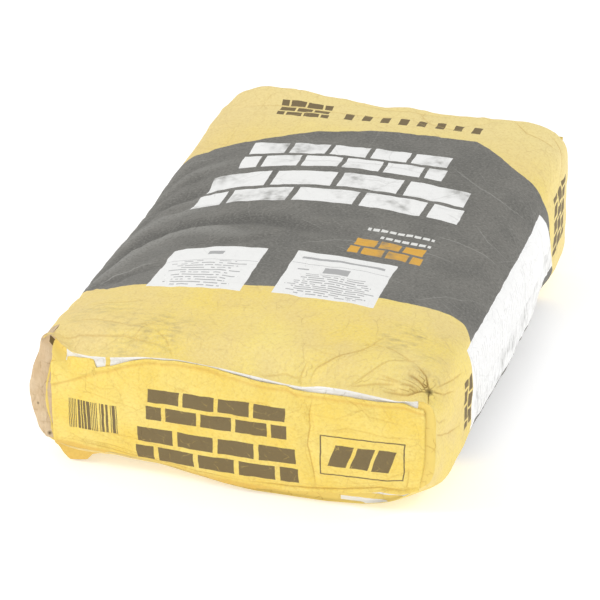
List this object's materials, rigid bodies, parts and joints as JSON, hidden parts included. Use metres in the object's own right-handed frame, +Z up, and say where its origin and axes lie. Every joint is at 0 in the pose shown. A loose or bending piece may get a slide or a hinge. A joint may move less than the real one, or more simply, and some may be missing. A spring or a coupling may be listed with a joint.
{
  "type": "cement bag",
  "caption": "Filled block-bottom valve sack of cement in printed paper, lying flat, with pasted end leaves and a kraft valve sleeve at one corner",
  "frame": {"origin": "on the floor, under the middle of the sack's bounding box", "axes": "+Z up; +Y along the sack, from the valve end to the closed end; +X across it"},
  "size_m": [0.3608, 0.4912, 0.1455],
  "materials": {
    "printed_sack_paper": "matt uncoated paper, printed yellow, charcoal and white",
    "printed_leaf_paper": "matt uncoated paper, printed yellow",
    "kraft_paper": "unprinted brown kraft"
  },
  "bodies": {
    "root": {"filled_sack": "printed_sack_paper", "valve_end_patch": "printed_leaf_paper", "closed_end_patch": "printed_leaf_paper", "valve_sleeve": "kraft_paper"}
  },
  "joints": []
}
